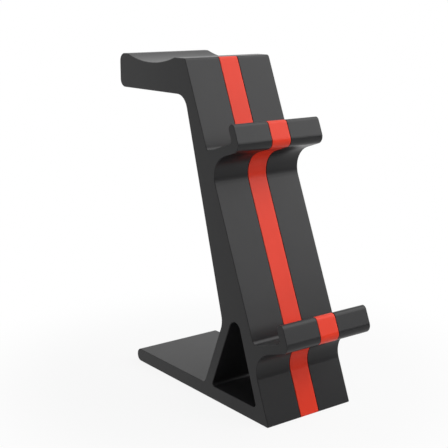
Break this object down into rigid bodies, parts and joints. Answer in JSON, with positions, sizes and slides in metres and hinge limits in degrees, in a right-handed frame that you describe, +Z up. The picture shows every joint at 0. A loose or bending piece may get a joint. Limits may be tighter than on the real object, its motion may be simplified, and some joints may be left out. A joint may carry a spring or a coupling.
{
  "type": "display stand",
  "caption": "Black display stand with a leaning column, lipped cradles for gamepads, a hanger arm for a headset and an inlaid red front stripe.",
  "frame": {"origin": "centre of the underside of the base plate, on the floor", "axes": "+Z up, +Y towards the back of the stand, +X across its width, to the right as seen from the front"},
  "size_m": [0.075, 0.1992, 0.241],
  "materials": {
    "black_plastic": "satin black plastic",
    "red_plastic": "satin red plastic"
  },
  "bodies": {
    "root": {"stand_body": "black_plastic", "front_stripe": "red_plastic"}
  },
  "joints": []
}
